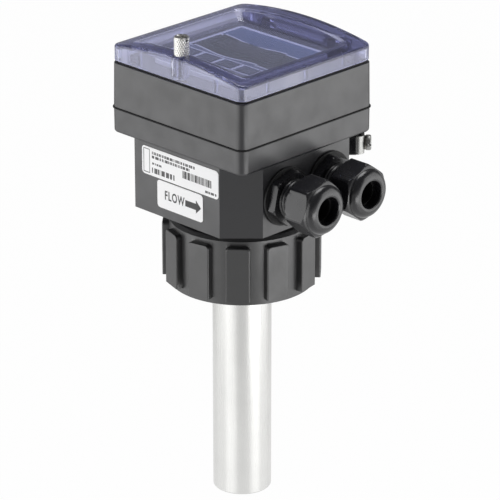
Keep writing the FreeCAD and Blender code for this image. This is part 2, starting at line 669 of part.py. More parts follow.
boss = Piece("lid_boss", helper=True)
boss.pad(lid_foot + d.boss_lift, d.lid_rise - d.boss_lift - d.lid_top / 2, circle(d.thumb_inset, 0, thumb_y))
rib_long = d.lid_skirt / 2 + d.rib_depth
rib_middle = lid_half - rib_long / 2 - d.lid_skirt / 2
rib_foot = lid_foot + d.fit_gap
ribs = Piece("lid_ribs", several=True, helper=True)
rib_loops = [rectangle(d.rib_thickness / 2, rib_long / 2, d.rib_spacing * i, -rib_middle) for i in (-1, 1)]
for side in (-1, 1):
    rib_loops += [rectangle(rib_long / 2, d.rib_thickness / 2, rib_middle * side, d.rib_spacing * j) for j in (-1, 0, 1)]
ribs.pad(rib_foot, core_shoulder - rib_foot + d.lid_top / 2, *rib_loops)
knuckle = Piece("lid_knuckle", helper=True)
knuckle.pad(-d.hinge_bar / 2, d.hinge_bar,
            outline((hinge_y - d.hinge_radius, hinge_z + d.hinge_radius), (hinge_y - d.hinge_radius, hinge_z, d.hinge_radius),
                    (hinge_y, hinge_z - d.hinge_radius, d.hinge_radius), (hinge_y + d.hinge_radius, hinge_z),
                    (hinge_y + d.hinge_radius, hinge_z + d.hinge_radius)), plane="YZ_Plane")
# What is taken away: the sharp corner under the rear edge, the lugs' notches and the holes
rear_relief = Piece("lid_rear_relief", helper=True)
rear_relief.pad(-lid_half - EPS, 2 * lid_half + 2 * EPS,
                outline((hinge_y - d.hinge_radius, lid_foot - EPS), (lid_half + EPS, lid_foot - EPS),
                        (lid_half + EPS, hinge_z), (hinge_y + d.hinge_radius, hinge_z, -d.hinge_radius),
                        (hinge_y, hinge_z - d.hinge_radius), (hinge_y - d.hinge_radius, hinge_z - d.hinge_radius)),
                plane="YZ_Plane")
notches = Piece("lid_notches", several=True, helper=True)
notch_y = d.hinge_radius + d.lug_gap
notch_high = hinge_z + d.lug_radius + 2 * d.lug_gap - lid_foot + EPS
notches.pad(lid_foot - EPS, notch_high,
            *[rectangle(notch_half, notch_y, d.lug_spacing * side, hinge_y) for side in (-1, 1)])
holes = Piece("lid_holes", several=True, helper=True)
holes.pad(lid_foot, d.lid_rise + EPS, circle(d.thumb_shank + d.running_gap, 0, thumb_y))
holes.pad(lid_foot - EPS, d.boss_lift + EPS, circle(d.retainer_radius + d.fit_gap, 0, thumb_y))
for side in (-1, 1):
    holes.pad(d.lug_spacing * side - d.pin_length / 2, d.pin_length, circle(d.pin_radius, hinge_y, hinge_z), plane="YZ_Plane")
space = combined("Cut", "lid_space", core.body, lining.body)
shell = combined("Cut", "lid_shell", blank.body, space, dish.body)
filled = combined("Fuse", "lid_filled", shell, boss.body, ribs.body, knuckle.body)
lid = combined("Cut", "lid", filled, rear_relief.body, notches.body, holes.body)
made["lid"] = lid

# Two hinge pins, pressed into the lid and running in the cover's lugs
pins = Piece("hinge_pins", several=True)
for side in (-1, 1):
    pins.pad(d.lug_spacing * side - d.pin_length / 2, d.pin_length, circle(d.pin_radius, hinge_y, hinge_z), plane="YZ_Plane")

# Thumb screw and the clip that keeps it in the lid
thumb = Piece("lid_screw")
thumb_foot = crown + d.fit_gap / 2
thumb_end = cover_top - d.thumb_reach
thumb.pad(thumb_foot, d.thumb_height, circle(d.thumb_radius))
thumb.fillet(d.thumb_slot / 3, flat_at(thumb_foot + d.thumb_height))
thumb.pocket(thumb_foot + d.thumb_height, d.thumb_slot_depth, rectangle(d.thumb_radius + EPS, d.thumb_slot / 2))
thumb.pad(thumb_foot, thumb_foot - thumb_end, circle(d.thumb_shank), back=True)
thumb.chamfer(d.thumb_shank / 3, flat_at(thumb_end))
thumb.place(y=thumb_y)
retainer = Piece("screw_retainer")
retainer_top = lid_foot + d.boss_lift - d.lid_gap
retainer.pad(retainer_top, d.retainer_height, circle(d.retainer_radius, 0, thumb_y), circle(d.thumb_shank, 0, thumb_y),
             back=True)

# Display bezel, held under the cover by its ears
bezel = Piece("display_bezel")
module_top = cover_top + d.module_rise
face_foot = module_top - d.module_top
board_top = face_foot - d.module_depth
bezel.pad(board_top, module_top - board_top, rounded(module_half, module_half, d.module_corner))
bezel.fillet(d.module_wall / 2, flat_at(module_top))
bezel.pad(plate_foot, d.ear_height, rectangle(module_half + d.module_ear, d.ear_screw_spacing + d.module_ear / 2), back=True)
hollow_half = module_half - d.module_wall
bezel.pocket(board_top, d.module_depth, rounded(hollow_half, hollow_half, d.module_corner - d.module_wall), back=True)
post = module_half - d.board_post_inset
post_spots = [(post * i, post * j) for i in (-1, 1) for j in (-1, 1)]
bezel.pad(board_top, d.module_depth + EPS, *circles(d.board_post, post_spots))
bezel.pocket(board_top, d.board_screw_length, *circles(d.board_screw_radius, post_spots), back=True)
bezel.pocket(plate_foot, d.ear_height, *circles(d.ear_screw_radius + d.fit_gap, ear_spots))
lcd_x = d.lcd_width / 2
lcd_y = d.lcd_height / 2
bezel.pocket(module_top, d.lcd_thickness, rectangle(lcd_x + d.fit_gap / 2, lcd_y + d.fit_gap / 2, 0, d.lcd_offset))
bezel.pocket(module_top, d.module_top, rectangle(lcd_x - 2 * d.lcd_lip, lcd_y - 2 * d.lcd_lip, 0, d.lcd_offset))
key_room = 2 * (hollow_half - d.key_side_room)
key_width = (key_room - 3 * d.key_space) / 4 - 2 * d.key_rim
key_spacing = key_width + 2 * d.key_rim + d.key_space
key_y = d.board_post + d.key_post_gap + d.key_height / 2 + d.key_rim - post
key_x = [key_spacing * step for step in (-1.5, -0.5, 0.5, 1.5)]
key_hole = [rectangle(key_width / 2 + d.key_gap, d.key_height / 2 + d.key_gap, x, key_y) for x in key_x]
bezel.pocket(module_top, d.module_top, *key_hole)

ear_screws = Piece("bezel_screws", several=True)
ear_foot = plate_foot - d.ear_height
ear_screws.pad(ear_foot, d.board_screw_head_height, *circles(d.board_screw_head, ear_spots), back=True)
ear_screws.pad(ear_foot, d.ear_height + d.case_wall - EPS, *circles(d.ear_screw_radius, ear_spots))

# Front panel with its display window and key openings
panel = Piece("front_panel")
panel_half = module_half - d.panel_margin
panel_top = module_top + d.panel_thickness
panel.pad(module_top, d.panel_thickness, rounded(panel_half, panel_half, d.module_corner),
          rectangle(lcd_x - d.lcd_lip, lcd_y - d.lcd_lip, 0, d.lcd_offset), *key_hole)

glass = Piece("lcd_glass")
glass.pad(module_top, d.lcd_thickness, rectangle(lcd_x, lcd_y, 0, d.lcd_offset), back=True)

# Keys: a cap in the panel, a rim under the bezel's face and a stem over its switch
key_top = panel_top + d.key_proud
rim_top = face_foot - d.key_rim_gap
stem_foot = board_top + d.switch_height + d.key_travel_room
for number, x in enumerate(key_x, start=1):
    key = Piece(f"key_{number}")
    key.pad(rim_top - EPS / 2, key_top - rim_top + EPS / 2, rounded(key_width / 2, d.key_height / 2, d.key_rim / 2))
    key.fillet(d.key_proud, flat_at(key_top))
    key.pad(rim_top, d.key_rim_height, rectangle(key_width / 2 + d.key_rim, d.key_height / 2 + d.key_rim), back=True)
    key.pad(rim_top, rim_top - stem_foot, circle(d.key_stem), back=True)
    key.place(x=x, y=key_y)

switches = Piece("key_switches", several=True)
switches.pad(board_top, d.switch_height, *[rectangle(d.switch_size / 2, d.switch_size / 2, x, key_y) for x in key_x])

# Circuit boards, their screws and the ribbon between them
board = Piece("display_board")
board.pad(board_top, d.board_thickness, rounded(hollow_half, hollow_half, d.module_corner), back=True)
board.pocket(board_top, d.board_thickness, *circles(d.board_screw_radius + d.fit_gap, post_spots))
board_foot = board_top - d.board_thickness
board_screws = Piece("display_board_screws", several=True)
board_screws.pad(board_foot, d.board_screw_head_height, *circles(d.board_screw_head, post_spots), back=True)
board_screws.pad(board_foot, d.board_screw_length, *circles(d.board_screw_radius, post_spots))

main_board = Piece("main_board")
main_board.pad(main_board_foot, d.board_thickness, rectangle(main_board_x, main_board_y))
main_board.pocket(main_board_top, d.board_thickness, *circles(d.board_screw_radius + d.fit_gap, main_posts))
main_screws = Piece("main_board_screws", several=True)
main_screws.pad(main_board_top, d.board_screw_head_height, *circles(d.board_screw_head, main_posts))
main_screws.pad(main_board_top, d.board_screw_length, *circles(d.board_screw_radius, main_posts), back=True)

terminal = Piece("terminal_block")
terminal.pad(main_board_top, d.terminal_height, rectangle(d.terminal_width / 2, d.terminal_depth / 2, 0, -d.terminal_offset))
terminal_steps = range(-4, 5)
terminal.pocket(main_board_top + d.terminal_height, d.terminal_height / 2,
                *circles(d.terminal_hole, [(d.terminal_pitch * k, -d.terminal_offset) for k in terminal_steps]))
terminal.pocket(d.terminal_offset + d.terminal_depth / 2, d.terminal_depth / 2,
                *circles(d.terminal_hole, [(d.terminal_pitch * k, main_board_top + d.terminal_height / 4)
                                           for k in terminal_steps]), plane="XZ_Plane")

ribbon = Piece("ribbon_link")
ribbon.pad(main_board_top, board_foot - main_board_top,
           rectangle(d.ribbon_width / 2, d.ribbon_thickness / 2, 0, main_board_y - d.ribbon_inset))

# Cable glands, drawn upright and laid along +X
along_x = Rotation(Vector(0, 1, 0), Vector(0, 0, 1), Vector(1, 0, 0), "ZYX")
hex_foot = d.gland_washer_height
hex_top = hex_foot + d.gland_hex_height
nut_foot = hex_top + d.gland_show
nut_end = nut_foot + d.gland_nut_length
nut_wall = nut_end - d.gland_end_wall
for name, y in gland_spots.items():
    washer = Piece(f"gland_washer_{name}")
    washer.pad(0, d.gland_washer_height, circle(d.gland_washer_radius), circle(d.gland_thread))
    washer.place(box_x, y, gland_z, along_x)

    body = Piece(f"gland_body_{name}")
    body.pad(hex_foot, d.gland_hex_height, hexagon(d.gland_flats))
    body.pad(hex_top, d.gland_front_length, circle(d.gland_front_thread))
    body.pad(hex_foot, hex_foot + thread_end, circle(d.gland_thread), back=True)
    body.pocket(hex_top + d.gland_front_length, hex_top + d.gland_front_length + thread_end, circle(d.gland_bore))
    body_turn = d.gland_hex_turn_front if name == "front" else d.gland_hex_turn_rear
    body.place(box_x, y, gland_z, along_x * Rotation(Vector(0, 0, 1), num(body_turn)))

    lock = Piece(f"gland_locknut_{name}")
    lock.pad(-d.case_wall, d.gland_locknut_height, hexagon(d.gland_locknut_flats), circle(d.gland_thread), back=True)
    lock.place(box_x, y, gland_z, along_x)

    rubber = Piece(f"gland_seal_{name}")
    rubber_top = nut_wall - d.gland_thread_gap
    rubber.pad(rubber_top, d.gland_seal_length, circle(d.gland_bore), circle(d.gland_seal_bore), back=True)
    rubber.place(box_x, y, gland_z, along_x)

    cap = Piece(f"gland_nut_{name}")
    cap.pad(nut_foot, d.gland_nut_hex, hexagon(d.gland_nut_flats))
    cap.pad(nut_foot, d.gland_nut_length, circle(d.gland_dome))
    cap.fillet(d.gland_dome_edge, flat_at(nut_end))
    cap.pocket(nut_wall, nut_wall - nut_foot, circle(d.gland_front_thread + d.gland_thread_gap))
    cap.pocket(nut_end, d.gland_end_wall, circle(d.gland_mouth))
    turn = d.gland_turn_front if name == "front" else d.gland_turn_rear
    cap.place(box_x, y, gland_z, along_x * Rotation(Vector(0, 0, 1), num(turn)))

# Earth terminal on the rear right chamfer, drawn upright and laid along the chamfer's normal
outward = Rotation(Vector(-1, 1, 0), Vector(0, 0, 1), Vector(1, 1, 0), "ZYX")
earth_spot = (earth_face / ROOT2, earth_face / ROOT2, earth_z, outward)
earth_hole = circle(d.earth_screw_radius + d.running_gap)
pad_half = d.earth_base_size / 2
earth_base = Piece("earth_base")
earth_base.pad(0, d.earth_base_height, rounded(pad_half, pad_half, d.running_gap * 20), earth_hole)
earth_base.place(*earth_spot)

clamp = Piece("earth_clamp")
clamp_half = d.earth_clamp_size / 2
clamp_top = d.earth_base_height + d.earth_clamp_lip + d.earth_clamp_plate
clamp.pad(d.earth_base_height, clamp_top - d.earth_base_height, rectangle(clamp_half, clamp_half))
clamp.pocket(d.earth_base_height, d.earth_clamp_lip, rectangle(clamp_half - d.earth_clamp_plate, clamp_half + EPS), back=True)
clamp.fillet(d.earth_clamp_bend, lambda edge: flat_at(clamp_top)(edge) and edge.BoundBox.XLength < 1e-4)
clamp.pocket(clamp_top, d.earth_clamp_plate, earth_hole)
clamp.place(*earth_spot)

ring = Piece("earth_washer")
ring.pad(clamp_top, d.earth_washer_height, circle(d.earth_washer_radius), earth_hole)
ring.place(*earth_spot)

earth_screw = Piece("earth_screw")
head_foot = clamp_top + d.earth_washer_height + d.earth_head_gap
head_top = head_foot + d.earth_head_height
earth_screw.pad(head_foot, d.earth_head_height, circle(d.earth_head_radius))
earth_screw.fillet(d.earth_head_height / 3, flat_at(head_top))
earth_screw.pocket(head_top, d.earth_head_height / 2, rectangle(d.earth_head_radius + EPS, d.thumb_slot / 2))
earth_screw.pad(head_foot, d.earth_screw_length, circle(d.earth_screw_radius), back=True)
earth_screw.place(*earth_spot)

# Labels on the front face
rating_top = box_top - d.rating_drop
rating_middle = rating_top - d.rating_height / 2
rating = Piece("rating_label")
rating.pad(box_y, d.label_thickness, rounded(d.rating_width / 2, d.rating_height / 2, d.label_corner, d.rating_shift,
                                              rating_middle), plane="XZ_Plane")
flow_middle = rating_top - d.rating_height - d.label_space - d.flow_height / 2
flow = Piece("flow_label")
flow.pad(box_y, d.label_thickness, rounded(d.flow_width / 2, d.flow_height / 2, d.label_corner, d.flow_shift, flow_middle),
         plane="XZ_Plane")

# Union nut with raised grip pads
union_top = collar_top + d.nut_lift + d.nut_top_height
union_foot = union_top - d.nut_height
ring_foot = collar_top + d.nut_lift
neck_hole = d.neck_radius + d.nut_neck_gap
nut = Piece("union_nut")
nut.turned((d.nut_bore, union_foot), (d.nut_radius, union_foot), (d.nut_radius, union_top - d.nut_rim),
           (d.nut_radius - d.nut_rim, union_top), (neck_hole, union_top), (neck_hole, ring_foot), (d.nut_bore, ring_foot))
grip_root = d.nut_radius - d.nut_rim
grip_half = d.grip_width / 2
grip_top = union_top - d.grip_drop
grip_foot = union_foot + d.grip_lift
grip = nut.pad(grip_root, d.grip_reach - grip_root,
               outline((-grip_half, grip_foot), (grip_half, grip_foot), (grip_half, grip_top - d.grip_corner, d.grip_corner),
                       (grip_half - d.grip_corner, grip_top), (d.grip_corner - grip_half, grip_top, d.grip_corner),
                       (-grip_half, grip_top - d.grip_corner)), plane="YZ_Plane")
grips = nut.feature("PolarPattern")
grips.Originals = [grip]
grips.Axis = (next(f for f in nut.body.Origin.OriginFeatures if f.Role == "Z_Axis"), [""])
grips.Angle = 360
bind(grips, "Occurrences", d.grip_count)
nut.done(grips)


def on_grip_face(edge):
    reach = num(d.grip_reach) - 1e-3
    return all(math.hypot(v.X, v.Y) > reach for v in edge.Vertexes) and edge.BoundBox.ZMax > num(grip_foot) + 1e-3


nut.fillet(d.grip_edge, on_grip_face)
nut.place(rotation=Rotation(Vector(0, 0, 1), num(d.grip_turn)))

# Probe: a steel tube with a collar, held by a lock nut inside the base
tube_end = -d.tube_length
tube_hole = d.tube_radius - d.tube_wall
tube_head = floor_top + d.tube_top
tube = Piece("probe_tube")
tube.turned((tube_hole, tube_end), (d.tube_radius, tube_end), (d.tube_radius, 0), (d.collar_radius, 0),
            (d.collar_radius, collar_top), (d.tube_radius, collar_top), (d.tube_radius, tube_head), (tube_hole, tube_head))
tube.fillet(d.tube_edge, lambda edge: flat_at(tube_end)(edge) and edge.BoundBox.XLength > 2 * num(tube_hole) + 1e-3)

locknut = Piece("probe_locknut")
locknut.pad(floor_top, d.locknut_height, circle(d.locknut_radius), circle(d.tube_radius))
slot_reach = d.locknut_radius - d.locknut_slot_depth / 2
slot_half = d.locknut_slot / 2
slot_long = d.locknut_slot_depth / 2 + EPS
for side in (-1, 1):
    locknut.pocket(floor_top + d.locknut_height, d.locknut_height,
                   rectangle(slot_long, slot_half, (slot_reach + EPS) * side, 0),
                   rectangle(slot_half, slot_long, 0, (slot_reach + EPS) * side))

oring = Piece("probe_oring")
oring_sketch = oring.sketch("XZ_Plane", 0, circle(d.oring_section, d.oring_radius, collar_top + d.oring_section))
oring_turn = oring.feature("Revolution")
oring_turn.Profile = oring_sketch
oring_turn.ReferenceAxis = (oring_sketch, ["V_Axis"])
oring_turn.Angle = 360
oring.done(oring_turn)

# Electrode holder in the tube's end, with the two electrodes across the flow
holder = Piece("electrode_holder")
holder_foot = tube_end + d.tip_recess
holder_top = holder_foot + d.holder_height
electrode_spots = [(0, d.electrode_spacing * side) for side in (-1, 1)]
holder.pad(holder_foot, d.holder_height, circle(tube_hole), *circles(d.electrode_radius, electrode_spots))
electrodes = Piece("electrodes", several=True)
electrodes.pad(holder_foot, d.electrode_head_height, *circles(d.electrode_head, electrode_spots), back=True)
electrodes.pad(holder_foot, d.holder_height, *circles(d.electrode_radius, electrode_spots))

# Field coil on its bobbin, with the core through it and the lead up to the main board
bobbin_top = holder_top + d.bobbin_height
bobbin_radius = tube_hole - d.bobbin_gap
bobbin = Piece("coil_bobbin")
bobbin.turned((d.core_radius, holder_top), (bobbin_radius, holder_top), (bobbin_radius, holder_top + d.bobbin_flange),
              (d.bobbin_hub, holder_top + d.bobbin_flange), (d.bobbin_hub, bobbin_top - d.bobbin_flange),
              (bobbin_radius, bobbin_top - d.bobbin_flange), (bobbin_radius, bobbin_top), (d.core_radius, bobbin_top))
winding = Piece("coil_winding")
winding.pad(holder_top + d.bobbin_flange, d.bobbin_height - 2 * d.bobbin_flange,
            circle(bobbin_radius - d.winding_margin), circle(d.bobbin_hub))
iron = Piece("coil_core")
iron.pad(holder_top, d.bobbin_height, circle(d.core_radius))
lead = Piece("sensor_lead")
lead.pad(bobbin_top, main_board_foot - bobbin_top, circle(d.lead_radius))

# Every object has to be sound before a file is written
doc.recompute()
for thing in doc.Objects:
    if {"Invalid", "Error"} & set(thing.State):
        raise ValueError(f"{thing.Name} failed: {thing.State}")
for label, thing in made.items():
    if thing.Shape.isNull() or not thing.Shape.isValid():
        raise ValueError(f"{label} has no valid shape")
os.makedirs("parts", exist_ok=True)
for label, thing in made.items():
    thing.Shape.exportStep(f"parts/{label}.step")
print(len(made), "sub-parts")
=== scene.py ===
import math

import bmesh
import bpy
import numpy as np
from mathutils import Matrix, Vector


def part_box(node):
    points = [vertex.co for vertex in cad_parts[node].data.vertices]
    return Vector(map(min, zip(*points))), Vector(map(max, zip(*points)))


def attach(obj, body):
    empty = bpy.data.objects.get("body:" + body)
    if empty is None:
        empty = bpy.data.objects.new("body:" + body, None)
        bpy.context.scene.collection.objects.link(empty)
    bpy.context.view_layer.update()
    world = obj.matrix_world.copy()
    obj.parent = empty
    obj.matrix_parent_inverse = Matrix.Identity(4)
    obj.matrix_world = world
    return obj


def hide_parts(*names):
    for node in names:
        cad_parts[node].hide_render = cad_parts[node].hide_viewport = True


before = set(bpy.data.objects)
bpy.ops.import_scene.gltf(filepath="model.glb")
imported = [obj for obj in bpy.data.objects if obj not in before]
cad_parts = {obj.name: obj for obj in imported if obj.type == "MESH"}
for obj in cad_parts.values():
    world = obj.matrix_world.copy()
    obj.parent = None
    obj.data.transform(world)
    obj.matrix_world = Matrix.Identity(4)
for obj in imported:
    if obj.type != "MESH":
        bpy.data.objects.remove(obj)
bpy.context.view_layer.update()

# Probe tube: a stainless pipe with a turned collar, the part that reaches into the flow.
# It is ground and polished along its length, and is clamped up into the base of the head.
MM = 0.001
TURN = 2 * math.pi


class Signal:
    """A shader socket that joins in Python sums: each operator adds one Math node"""

    def __init__(self, nodes, socket):
        self.nodes = nodes
        self.socket = socket

    def __add__(self, other):
        return self.nodes.math("ADD", self, other)

    def __sub__(self, other):
        return self.nodes.math("SUBTRACT", self, other)

    def __rsub__(self, other):
        return self.nodes.math("SUBTRACT", other, self)

    def __mul__(self, other):
        return self.nodes.math("MULTIPLY", self, other)

    def __truediv__(self, other):
        return self.nodes.math("DIVIDE", self, other)

    def __rtruediv__(self, other):
        return self.nodes.math("DIVIDE", other, self)

    def __abs__(self):
        return self.nodes.math("ABSOLUTE", self)

    __radd__ = __add__
    __rmul__ = __mul__


class Nodes:
    """A node tree, where every node comes from one method"""

    def __init__(self, tree):
        self.tree = tree

    def node(self, kind, settings, inputs, output=0):
        """Adds a node: its settings first, then the values or links of its sockets. Gives back one output."""
        node = self.tree.nodes.new("ShaderNode" + kind)
        for name, value in settings.items():
            setattr(node, name, value)
        for name, value in inputs.items():
            self.feed(node.inputs[name], value)
        return Signal(self, node.outputs[output])

    def feed(self, socket, value):
        """Links a signal to a socket, or sets the socket's own value"""
        if isinstance(value, Signal):
            self.tree.links.new(value.socket, socket)
        else:
            socket.default_value = value

    def math(self, operation, first, second=0.0):
        """One Math node; a function of one value leaves the second out"""
        return self.node("Math", {"operation": operation}, {0: first, 1: second})

    def ramp(self, value, low, high, start=0.0, end=1.0):
        """Straight ramp from start to end as the value goes from low to high"""
        return self.node("MapRange", {}, {0: value, 1: low, 2: high, 3: start, 4: end})

    def ray(self, kind):
        """1 for light rays of one kind, such as Is Camera Ray"""
        return self.node("LightPath", {}, {}, kind)


class Finish(Nodes):
    """A material made of nodes round one Principled shader"""

    def __init__(self, name, constants):
        self.material = bpy.data.materials.new(name)
        self.material.use_nodes = True
        super().__init__(self.material.node_tree)
        self.shader = self.tree.nodes["Principled BSDF"]
        self.surface = Signal(self, self.shader.outputs[0])
        self.set(constants)

    def set(self, values):
        """Sets or links the shader's own sockets"""
        for name, value in values.items():
            self.feed(self.shader.inputs[name], value)

    def lay(self, layer, share):
        """Lays another shader over the surface, by a share of 0 to 1"""
        self.surface = self.node("MixShader", {}, {0: share, 1: self.surface, 2: layer})
        self.feed(self.tree.nodes["Material Output"].inputs["Surface"], self.surface)

    def place(self):
        """Object coordinates, in metres"""
        return self.node("TexCoord", {}, {}, "Object")

    def axis(self, letter):
        """One Object coordinate, in millimetres"""
        return self.node("SeparateXYZ", {}, {0: self.place()}, letter) * (1 / MM)

    def noise(self, size_mm, detail=3.0, stretch=(1, 1, 1)):
        """Cloudy values about 0.5, in clouds of about size_mm over the stretch along each axis"""
        point = self.node("Mapping", {}, {"Vector": self.place(), "Scale": stretch})
        return self.node("TexNoise", {}, {"Vector": point, "Scale": 1 / (size_mm * MM), "Detail": detail})

    def blend(self, first, second, share):
        """Colour that goes from first to second with the share"""
        return self.node("Mix", {"data_type": "RGBA"}, {0: share, 6: first, 7: second}, 2)

    def relief(self, height, depth_mm, strength):
        """Bump from a height of 0 to 1"""
        inputs = {"Strength": strength, "Distance": depth_mm * MM, "Height": height}
        self.set({"Normal": self.node("Bump", {}, inputs)})


def tint(red, green, blue):
    """Colour from screen values of 0 to 255"""
    values = np.array((red, green, blue)) / 255
    linear = np.where(values <= 0.04045, values / 12.92, ((values + 0.055) / 1.055) ** 2.4)
    return (*linear.tolist(), 1.0)


def scaled(colour, factor):
    """A colour made paler or darker, no paler than white"""
    return (*(min(1.0, factor * value) for value in colour[:3]), 1.0)


def metal(name, colour, rough, stretch=(1, 1, 1), line_mm=0.5, line_depth=0.004):
    """Bare metal: finishing lines run along the axis of least stretch, and lift and dull it a little"""
    finish = Finish(name, {"Metallic": 1.0})
    lines = finish.noise(line_mm, detail=4.0, stretch=stretch)
    cloud = finish.noise(14.0, detail=2.0)
    finish.set({"Base Color": finish.blend(colour, scaled(colour, 0.9), cloud)})
    finish.set({"Roughness": finish.ramp(lines, 0.3, 0.7, rough - 0.05, rough + 0.06)})
    finish.relief(lines, line_depth, strength=0.35)
    return finish.material


def merge(mesh, others=(), distance=1e-7):
    """Joins other meshes to a mesh, and merges the points that fall together"""
    work = bmesh.new()
    for source in (mesh, *others):
        work.from_mesh(source)
    bmesh.ops.remove_doubles(work, verts=work.verts, dist=distance)
    work.to_mesh(mesh)
    work.free()


def sheet_mesh(name, points, close_rows=False, close_columns=True):
    """Mesh of quads over a grid of points (rows, columns, 3). Columns close round the piece by default, rows
    only if asked. Points that fall together, as at a pole, are merged."""
    rows, columns = points.shape[:2]
    index = np.arange(rows * columns).reshape(rows, columns)
    down = np.roll(index, -1, axis=0)[: rows if close_rows else rows - 1]
    here = index[: len(down)]
    last = columns if close_columns else columns - 1
    quads = np.stack([here, np.roll(here, -1, 1), np.roll(down, -1, 1), down], axis=-1)[:, :last]
    mesh = bpy.data.meshes.new(name)
    mesh.from_pydata(points.reshape(-1, 3).tolist(), [], quads.reshape(-1, 4).tolist())
    merge(mesh)
    return mesh


def round_points(radius, along, origin, forward="Z", steps=180, start=0.0):
    """Profile turned about an axis: a point is origin + forward * along + radius * (cos, sin) of the angle.
    Radius and along are columns of the profile, in millimetres; radius may also change with the angle."""
    angle = start + np.arange(steps) * TURN / steps
    along = np.broadcast_to(np.asarray(along, float).reshape(-1, 1), (len(along), steps))
    across = np.broadcast_to(np.asarray(radius, float).reshape(len(along), -1), along.shape)
    first = across * np.cos(angle)
    second = across * np.sin(angle)
    axes = (first, second, along) if forward == "Z" else (along, first, second)
    return (np.stack(axes, axis=-1) + np.array(origin)) * MM


def arc(middle, radius, start, end, count=8):
    """Points of a circle's arc between two angles in degrees, as (radius, along) rows"""
    angle = np.radians(np.linspace(start, end, count))
    return np.stack([middle[0] + radius * np.cos(angle), middle[1] + radius * np.sin(angle)], axis=1)


def box_mm(node):
    """Low and high corners of a CAD node, in millimetres"""
    return [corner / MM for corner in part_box(node)]


def piece(name, mesh, body, material, nodes, crease=32):
    """Shows a mesh as a smooth piece with sharp creases, riding on a body in place of its CAD nodes"""
    thing = bpy.data.objects.new(name, mesh)
    bpy.context.scene.collection.objects.link(thing)
    mesh.shade_smooth()
    mesh.set_sharp_from_angle(angle=math.radians(crease))
    mesh.materials.clear()
    mesh.materials.append(material)
    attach(thing, body)
    if nodes:
        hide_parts(*nodes)
    return thing


tube_low, tube_high = box_mm("probe_tube")
tube_radius = 14.5
tube_bore = 12.5
tube_edge = 0.8
tube_half_way = -60.0
collar_radius = 27.6
collar_height = 5.0
tube_profile = np.concatenate([
    [(tube_bore, tube_low.z)],
    arc((tube_radius - tube_edge, tube_low.z + tube_edge), tube_edge, -90, 0),
    [(tube_radius, tube_half_way), (tube_radius, 0), (collar_radius, 0), (collar_radius, collar_height)],
    [(tube_radius, collar_height), (tube_radius, tube_high.z), (tube_bore, tube_high.z)],
])
tube_points = round_points(tube_profile[:, 0], tube_profile[:, 1], (0, 0, 0))
long_lines = (3.0, 3.0, 0.03)
ground_steel = metal("ground_steel", tint(222, 222, 220), 0.29, long_lines, line_mm=0.8, line_depth=0.0002)
tube = sheet_mesh("probe_pipe", tube_points, close_rows=True)
piece("probe_pipe", tube, "housing", ground_steel, ["probe_tube"])

# Sensor inside the tube's end: electrodes in a plastic holder, and the field coil on its bobbin above them.
# The holder is turned from white plastic and closes the tube; the coil's lead goes up to the board.


def moulded(name, colour, rough, grain_mm=0.35, grain_depth=0.012, sheen=0.5):
    """Moulded plastic: a fine spark-eroded grain, and slow clouds of tone and gloss"""
    finish = Finish(name, {"Specular IOR Level": sheen})
    cloud = finish.noise(11.0, detail=5.0)
    grain = finish.noise(grain_mm, detail=2.0)
    worn = finish.ramp(cloud, 0.35, 0.65) * 0.6 + grain * 0.4
    finish.set({"Base Color": finish.blend(colour, scaled(colour, 1.6), worn)})
    finish.set({"Roughness": finish.ramp(cloud, 0.35, 0.65, rough + 0.06, rough - 0.05)})
    finish.relief(grain, grain_depth, strength=0.5)
    return finish.material


def paint(material, *nodes):
    """Gives CAD nodes that show as they are their material"""
    for node in nodes:
        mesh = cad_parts[node].data
        mesh.materials.clear()
        mesh.materials.append(material)


paint(moulded("turned_white_plastic", tint(226, 226, 222), 0.4), "electrode_holder", "coil_bobbin")
paint(metal("electrode_alloy", tint(196, 190, 178), 0.3), "electrodes")
paint(metal("copper_wire", tint(200, 118, 70), 0.35, (0.2, 0.2, 9.0), line_mm=0.6), "coil_winding")
paint(metal("core_iron", tint(110, 110, 112), 0.45), "coil_core")
paint(moulded("lead_sheath", tint(28, 28, 30), 0.5), "sensor_lead")

# Base of the head: black glass-filled plastic, moulded in one piece with the chamfered box and the neck.
# The probe comes up through the neck and is held inside by a slotted lock nut, with a rubber ring under it.


def joined(node):
    """Mesh of a CAD node with its loose triangles joined and the diagonals of its flat faces cleared"""
    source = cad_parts[node].data
    source.calc_loop_triangles()
    spots = np.empty(len(source.vertices) * 3)
    source.vertices.foreach_get("co", spots)
    spots = spots.reshape(-1, 3)
    corners = np.empty(len(source.loop_triangles) * 3, int)
    source.loop_triangles.foreach_get("vertices", corners)
    keys = np.round(spots / 1e-7).astype(np.int64)
    _, first, same = np.unique(keys, axis=0, return_index=True, return_inverse=True)
    triangles = same.reshape(-1)[corners].reshape(-1, 3)
    mesh = bpy.data.meshes.new(node)
    mesh.from_pydata(spots[first].tolist(), [], triangles.tolist())
    work = bmesh.new()
    work.from_mesh(mesh)
    bmesh.ops.dissolve_degenerate(work, edges=work.edges, dist=1e-7)
    bmesh.ops.dissolve_limit(work, angle_limit=math.radians(0.2), verts=work.verts, edges=work.edges)
    work.to_mesh(mesh)
    work.free()
    return mesh


def softened(name, node, edge_mm, body, material, angle=40, segments=2):
    """A CAD solid as moulded: its sharp edges rounded by edge_mm, its flat faces kept flat"""
    thing = piece(name, joined(node), body, material, [node], crease=180)
    bevel = thing.modifiers.new("edges", "BEVEL")
    bevel.width = edge_mm * MM
    bevel.segments = segments
    bevel.limit_method = "ANGLE"
    bevel.angle_limit = math.radians(angle)
    thing.modifiers.new("flats", "WEIGHTED_NORMAL")
    return thing


